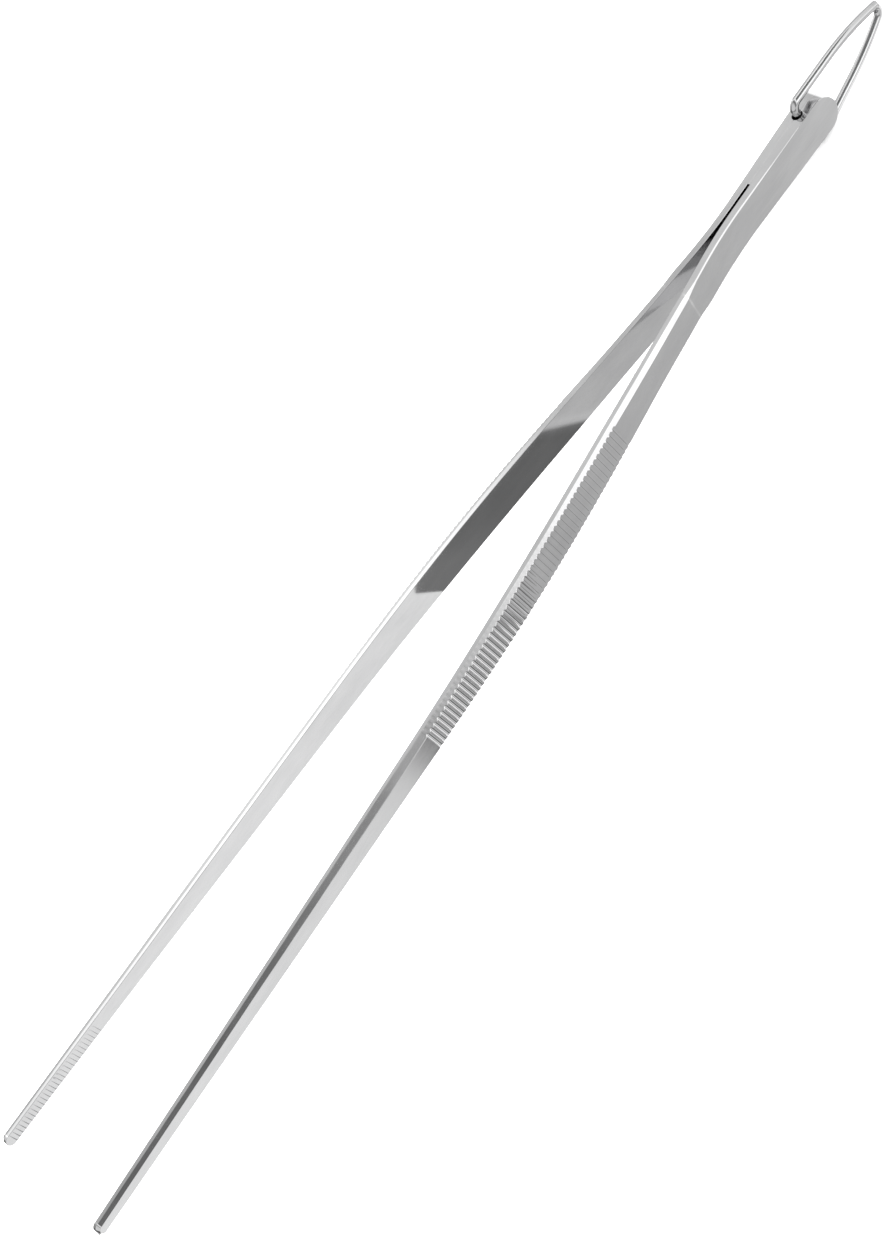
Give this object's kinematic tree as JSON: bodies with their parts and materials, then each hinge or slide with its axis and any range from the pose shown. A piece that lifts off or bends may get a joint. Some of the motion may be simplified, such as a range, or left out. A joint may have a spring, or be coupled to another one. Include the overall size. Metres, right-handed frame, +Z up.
{
  "type": "aquascaping tweezers",
  "caption": "Long straight steel tweezers: two sprung arms joined at a round butt, ridged finger grips, serrated tips and a wire hanging loop.",
  "frame": {"origin": "bottom centre of the whole object lying on its side, arms open", "axes": "+X from the butt towards the tips, +Y from the left arm to the right arm, +Z up, across the width of the blades"},
  "size_m": [0.3256, 0.0408, 0.0156],
  "materials": {
    "blade_steel": "polished stainless steel",
    "wire_steel": "bright drawn stainless wire"
  },
  "bodies": {
    "butt": {"left_butt": "blade_steel", "right_butt": "blade_steel"},
    "left_arm": {"left_arm": "blade_steel"},
    "right_arm": {"right_arm": "blade_steel"},
    "hanging_loop": {"hanging_loop": "wire_steel"}
  },
  "joints": [
    {"name": "right_arm_flex", "type": "hinge", "parent": "butt", "child": "right_arm", "pos_m": [-0.10521, 0.00135, 0.00727], "axis": [0, 0, -1], "range_deg": [0, 3.88], "stiffness_Nm_per_rad": 11},
    {"name": "left_arm_flex", "type": "hinge", "parent": "butt", "child": "left_arm", "pos_m": [-0.10521, -0.00135, 0.00727], "axis": [0, 0, 1], "range_deg": [0, 3.88], "stiffness_Nm_per_rad": 11},
    {"name": "loop_swing", "type": "hinge", "parent": "butt", "child": "hanging_loop", "pos_m": [-0.12901, 0, 0.00727], "axis": [0, 0, 1], "range_deg": [-170.3, 157.7]}
  ],
  "couplings": [
    {"joint": "left_arm_flex", "follows": "right_arm_flex", "ratio": 1}
  ]
}
